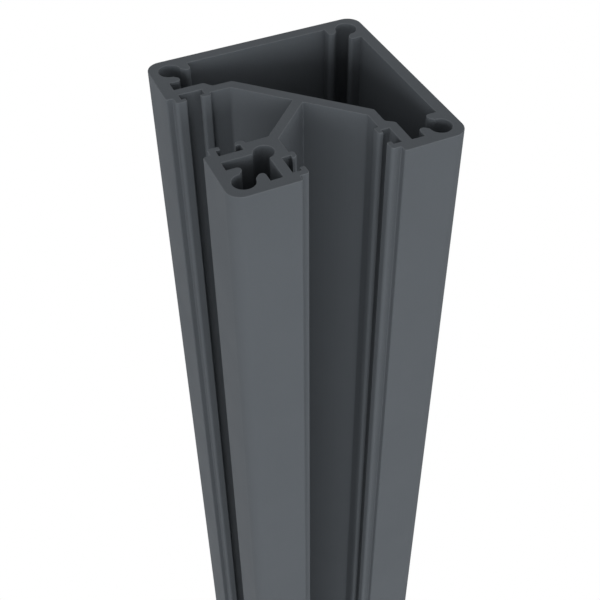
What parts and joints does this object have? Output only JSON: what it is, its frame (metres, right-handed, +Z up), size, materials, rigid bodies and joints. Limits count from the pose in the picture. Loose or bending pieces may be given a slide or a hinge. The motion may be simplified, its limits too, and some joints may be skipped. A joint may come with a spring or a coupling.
{
  "type": "corner fence post",
  "caption": "Square corner post for slot-in fence panels: an extruded profile with screw ports and gasket grooves, on a welded base plate.",
  "frame": {"origin": "on the ground, under the middle of the post and of its base plate", "axes": "+Z up along the post; the two panel slots open towards -X and -Y, and the closed sides face +X and +Y"},
  "size_m": [0.15, 0.15, 1],
  "materials": {
    "profile_coat": "fine matt powder coat, anthracite grey",
    "plate_coat": "fine matt powder coat, anthracite grey",
    "weld_coat": "powder coat over a rippled weld, anthracite grey"
  },
  "bodies": {
    "root": {"post_profile": "profile_coat", "base_plate": "plate_coat", "outer_weld": "weld_coat", "box_weld": "weld_coat"}
  },
  "joints": []
}
